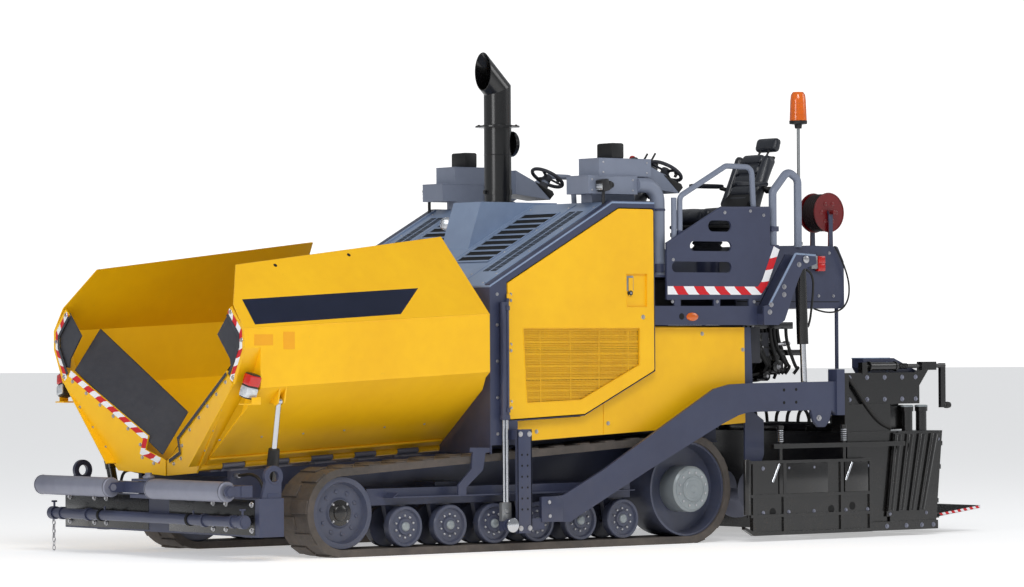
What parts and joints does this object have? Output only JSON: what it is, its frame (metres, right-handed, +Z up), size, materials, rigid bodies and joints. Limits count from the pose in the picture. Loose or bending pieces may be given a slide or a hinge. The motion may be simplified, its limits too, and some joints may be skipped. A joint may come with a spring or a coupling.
{
  "type": "tracked asphalt paver",
  "caption": "Rubber-tracked asphalt paver with folding hopper wings, sloping engine hood, twin operator station, augers and an extending towed screed.",
  "frame": {"origin": "on the ground, on the centre plane, midway between the front rollers and the screed's walkways", "axes": "+X forward towards the hopper and push rollers, +Y to the machine's left, +Z up"},
  "size_m": [7.19, 2.6138, 3.6652],
  "materials": {
    "yellow_paint": "satin",
    "slate_paint": "satin",
    "hood_paint": "satin",
    "console_paint": "satin",
    "black_paint": "satin",
    "red_paint": "satin",
    "track_rubber": "dusty",
    "black_rubber": "matte",
    "wheel_paint": "worn",
    "hub_paint": "dusty",
    "bare_steel": "worn",
    "chrome": "polished",
    "amber_lens": "gloss",
    "lamp_plastic": "satin",
    "seat_vinyl": "satin",
    "cast_block": "matte"
  },
  "bodies": {
    "machine": {"track_belts": "track_rubber", "road_wheels": "wheel_paint", "drive_wheels": "wheel_paint", "final_drives": "hub_paint", "track_frames": "slate_paint", "chassis_frame": "slate_paint", "front_bumper": "slate_paint", "hopper_floor": "bare_steel", "conveyor": "bare_steel", "body_frame": "slate_paint", "side_panels": "yellow_paint", "hood": "hood_paint", "exhaust_stack": "black_paint", "engine_block": "cast_block", "operator_platform": "slate_paint", "platform_sides": "slate_paint", "handrails": "console_paint", "consoles": "console_paint", "seat_left": "seat_vinyl", "seat_right": "seat_vinyl", "beacon": "amber_lens", "rear_brackets": "slate_paint", "rear_cabinet": "slate_paint", "lamps": "lamp_plastic", "auger_carrier": "slate_paint", "hydraulics": "black_rubber", "tow_points": "slate_paint"},
    "push_beam": {"push_beam": "slate_paint"},
    "push_roller_left": {"push_roller_left": "bare_steel"},
    "push_roller_right": {"push_roller_right": "bare_steel"},
    "wing_left": {"wing_left": "yellow_paint", "wing_flap_left": "black_rubber", "wing_lamp_left": "lamp_plastic"},
    "wing_barrel_left": {"wing_barrel_left": "black_paint"},
    "wing_rod_left": {"wing_rod_left": "chrome"},
    "wing_right": {"wing_right": "yellow_paint", "wing_flap_right": "black_rubber", "wing_lamp_right": "lamp_plastic"},
    "wing_barrel_right": {"wing_barrel_right": "black_paint"},
    "wing_rod_right": {"wing_rod_right": "chrome"},
    "door_left": {"door_left": "yellow_paint"},
    "door_right": {"door_right": "yellow_paint"},
    "steering_wheel_left": {"steering_wheel_left": "black_rubber"},
    "steering_wheel_right": {"steering_wheel_right": "black_rubber"},
    "hose_reel": {"hose_reel": "red_paint"},
    "auger_left": {"auger_left": "bare_steel"},
    "auger_right": {"auger_right": "bare_steel"},
    "screed": {"tow_arms": "slate_paint", "screed_main": "black_paint", "screed_boxes": "slate_paint"},
    "lift_barrels": {"lift_barrels": "black_paint"},
    "lift_rods": {"lift_rods": "chrome"},
    "extension_left": {"screed_extension_left": "black_paint"},
    "end_gate_left": {"end_gate_left": "black_paint"},
    "walkway_left": {"walkway_left": "black_paint"},
    "extension_right": {"screed_extension_right": "black_paint"},
    "end_gate_right": {"end_gate_right": "black_paint"},
    "walkway_right": {"walkway_right": "black_paint"}
  },
  "joints": [
    {"name": "push_beam_swing", "type": "hinge", "parent": "machine", "child": "push_beam", "pos_m": [3.385, 0, 0.486], "axis": [0, 0, 1], "range_deg": [-3, 3]},
    {"name": "push_roller_left_spin", "type": "hinge", "parent": "push_beam", "child": "push_roller_left", "pos_m": [3.525, 0.742, 0.486], "axis": [0, 1, 0], "continuous": true},
    {"name": "push_roller_right_spin", "type": "hinge", "parent": "push_beam", "child": "push_roller_right", "pos_m": [3.525, -0.742, 0.486], "axis": [0, 1, 0], "continuous": true},
    {"name": "wing_left_fold", "type": "hinge", "parent": "machine", "child": "wing_left", "pos_m": [2, 0.53, 0.69888], "axis": [0.9989, 0, -0.0479], "range_deg": [-30, 0]},
    {"name": "wing_barrel_left_tilt", "type": "hinge", "parent": "machine", "child": "wing_barrel_left", "pos_m": [3.02638, 0.953, 0.212], "axis": [0.9988, 0, -0.0479], "range_deg": [-22.3, 0.5]},
    {"name": "wing_rod_left_slide", "type": "slide", "parent": "wing_barrel_left", "child": "wing_rod_left", "axis": [0.0465, 0.2402, 0.9696], "range_m": [-0.301, 0.002]},
    {"name": "wing_right_fold", "type": "hinge", "parent": "machine", "child": "wing_right", "pos_m": [2, -0.53, 0.69888], "axis": [-0.9989, 0, 0.0479], "range_deg": [-30, 0]},
    {"name": "wing_barrel_right_tilt", "type": "hinge", "parent": "machine", "child": "wing_barrel_right", "pos_m": [3.02638, -0.953, 0.212], "axis": [-0.9988, 0, 0.0479], "range_deg": [-22.3, 0.5]},
    {"name": "wing_rod_right_slide", "type": "slide", "parent": "wing_barrel_right", "child": "wing_rod_right", "axis": [0.0465, -0.2402, 0.9696], "range_m": [-0.301, 0.002]},
    {"name": "door_left_hinge", "type": "hinge", "parent": "machine", "child": "door_left", "pos_m": [1.066, 1.144, 1.5], "axis": [0, 0, -1], "range_deg": [0, 85]},
    {"name": "door_right_hinge", "type": "hinge", "parent": "machine", "child": "door_right", "pos_m": [1.066, -1.144, 1.5], "axis": [0, 0, 1], "range_deg": [0, 85]},
    {"name": "steering_wheel_left_turn", "type": "hinge", "parent": "machine", "child": "steering_wheel_left", "pos_m": [-0.74, 0.725, 2.774], "axis": [-0.5299, 0, 0.848], "continuous": true},
    {"name": "steering_wheel_right_turn", "type": "hinge", "parent": "machine", "child": "steering_wheel_right", "pos_m": [-0.74, -0.725, 2.774], "axis": [-0.5299, 0, 0.848], "continuous": true},
    {"name": "hose_reel_spin", "type": "hinge", "parent": "machine", "child": "hose_reel", "pos_m": [-2.31, 0.7, 2.484], "axis": [0, 1, 0], "continuous": true},
    {"name": "auger_left_spin", "type": "hinge", "parent": "machine", "child": "auger_left", "pos_m": [-1.56, 0.62, 0.33], "axis": [0, 1, 0], "continuous": true},
    {"name": "auger_right_spin", "type": "hinge", "parent": "machine", "child": "auger_right", "pos_m": [-1.56, -0.62, 0.33], "axis": [0, 1, 0], "continuous": true},
    {"name": "screed_lift", "type": "hinge", "parent": "machine", "child": "screed", "pos_m": [1.117, 0, 0.19], "axis": [0, 1, 0], "range_deg": [-0.4, 5.5]},
    {"name": "lift_barrels_tilt", "type": "hinge", "parent": "machine", "child": "lift_barrels", "pos_m": [-1.706, 0, 2.11], "axis": [0, 1, 0], "range_deg": [-7.8, 0.8]},
    {"name": "lift_rods_slide", "type": "slide", "parent": "lift_barrels", "child": "lift_rods", "axis": [-0.0347, 0, -0.9994], "range_m": [-0.272, 0.022]},
    {"name": "extension_left_slide", "type": "slide", "parent": "screed", "child": "extension_left", "axis": [0, 1, 0], "range_m": [0, 1.1]},
    {"name": "end_gate_left_float", "type": "slide", "parent": "extension_left", "child": "end_gate_left", "axis": [0, 0, 1], "range_m": [0, 0.08]},
    {"name": "walkway_left_fold", "type": "hinge", "parent": "extension_left", "child": "walkway_left", "pos_m": [-3.12, 0.615, 0.14], "axis": [0, 1, 0], "range_deg": [0, 80]},
    {"name": "extension_right_slide", "type": "slide", "parent": "screed", "child": "extension_right", "axis": [0, -1, 0], "range_m": [0, 1.1]},
    {"name": "end_gate_right_float", "type": "slide", "parent": "extension_right", "child": "end_gate_right", "axis": [0, 0, 1], "range_m": [0, 0.08]},
    {"name": "walkway_right_fold", "type": "hinge", "parent": "extension_right", "child": "walkway_right", "pos_m": [-3.12, -0.615, 0.14], "axis": [0, 1, 0], "range_deg": [0, 80]}
  ],
  "couplings": [
    {"joint": "wing_barrel_left_tilt", "follows": "wing_left_fold", "ratio": 0.7155},
    {"joint": "wing_rod_left_slide", "follows": "wing_left_fold", "m_per_rad": 0.5618},
    {"joint": "wing_barrel_right_tilt", "follows": "wing_right_fold", "ratio": 0.7155},
    {"joint": "wing_rod_right_slide", "follows": "wing_right_fold", "m_per_rad": 0.5618},
    {"joint": "lift_barrels_tilt", "follows": "screed_lift", "ratio": -1.374},
    {"joint": "lift_rods_slide", "follows": "screed_lift", "m_per_rad": -2.778}
  ]
}
